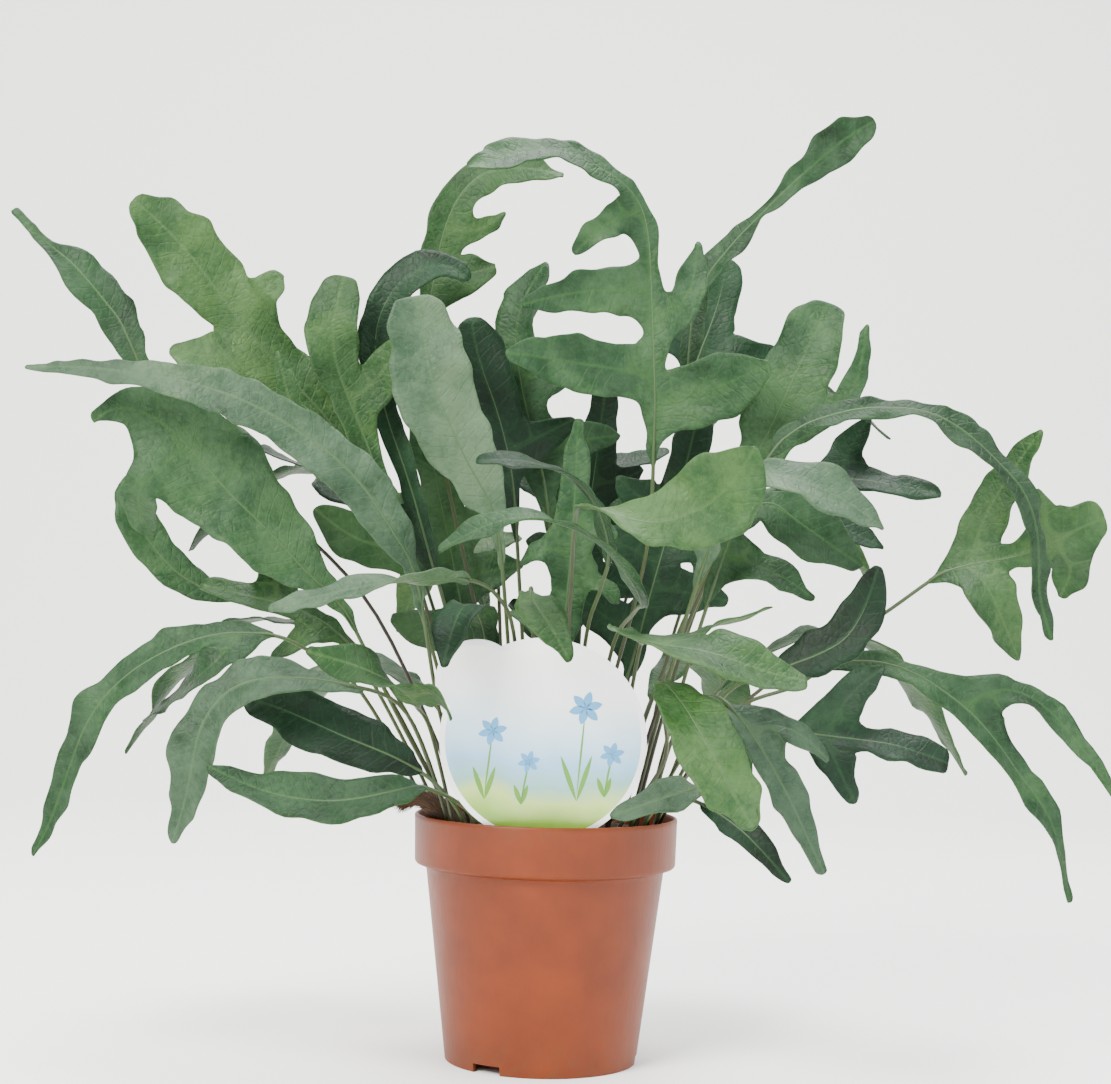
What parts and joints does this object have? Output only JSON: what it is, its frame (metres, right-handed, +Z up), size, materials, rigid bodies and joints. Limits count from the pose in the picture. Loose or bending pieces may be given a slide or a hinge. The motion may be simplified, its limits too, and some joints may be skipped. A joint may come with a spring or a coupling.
{
  "type": "potted fern",
  "caption": "Bushy blue-green fern with long lobed, wavy fronds on thin stalks, in a round tapered plastic pot with a stick-in card label.",
  "frame": {"origin": "on the pot's axis, on the surface that the pot stands on", "axes": "+Z up along the pot's axis, -Y towards the front, where the label stands, +X to the right"},
  "size_m": [0.508, 0.3653, 0.4435],
  "materials": {
    "pot plastic": "matte terracotta-coloured moulded plastic",
    "peat": "dark crumbly peat",
    "rhizome": "brown furry scales",
    "label card": "printed satin plastic card",
    "blue-green leaf": "glaucous leaf with a waxy bloom",
    "grey-green leaf": "pale glaucous leaf with a waxy bloom",
    "fresh green leaf": "young leaf, satin",
    "dark green leaf": "shaded leaf, satin"
  },
  "bodies": {
    "root": {"frond_back_left_lobed": "fresh green leaf", "frond_back_left_low": "grey-green leaf", "frond_back_left_middle": "dark green leaf", "frond_back_left_side": "blue-green leaf", "frond_back_left_tall": "blue-green leaf", "frond_back_middle": "dark green leaf", "frond_back_middle_low": "blue-green leaf", "frond_back_right_drooping": "blue-green leaf", "frond_back_right_lobed": "dark green leaf", "frond_back_right_low": "blue-green leaf", "frond_back_right_side": "fresh green leaf", "frond_back_right_tall": "grey-green leaf", "frond_behind_arch": "blue-green leaf", "frond_below_rim": "dark green leaf", "frond_big_left": "blue-green leaf", "frond_broad_grey": "grey-green leaf", "frond_cut_right": "blue-green leaf", "frond_dark_arch": "dark green leaf", "frond_dark_left": "dark green leaf", "frond_far_left": "blue-green leaf", "frond_far_right": "fresh green leaf", "frond_front_arch": "blue-green leaf", "frond_front_folded": "fresh green leaf", "frond_front_right": "fresh green leaf", "frond_green_front": "fresh green leaf", "frond_grey_hanging": "grey-green leaf", "frond_inner_back": "dark green leaf", "frond_inner_front": "blue-green leaf", "frond_inner_front_left": "dark green leaf", "frond_inner_left": "blue-green leaf", "frond_inner_right": "dark green leaf", "frond_left_cupped": "fresh green leaf", "frond_left_curl": "dark green leaf", "frond_left_lobed": "fresh green leaf", "frond_left_middle": "blue-green leaf", "frond_left_of_label": "fresh green leaf", "frond_long_ribbon": "grey-green leaf", "frond_low_left_arch": "blue-green leaf", "frond_low_right_arch": "blue-green leaf", "frond_lowest_left": "blue-green leaf", "frond_middle_dark": "dark green leaf", "frond_over_label": "fresh green leaf", "frond_pale_left": "grey-green leaf", "frond_pale_right": "grey-green leaf", "frond_right_hanging": "dark green leaf", "frond_right_lobed": "dark green leaf", "frond_right_low_lobed": "dark green leaf", "frond_right_middle": "blue-green leaf", "frond_right_ribbon": "blue-green leaf", "frond_rim_right": "grey-green leaf", "frond_top_arch": "blue-green leaf", "frond_top_left": "fresh green leaf", "frond_top_right": "blue-green leaf", "frond_twisted_right": "grey-green leaf", "frond_upper_left": "fresh green leaf", "label": "label card", "pot": "pot plastic", "rhizome_back": "rhizome", "rhizome_left": "rhizome", "soil": "peat"}
  },
  "joints": []
}
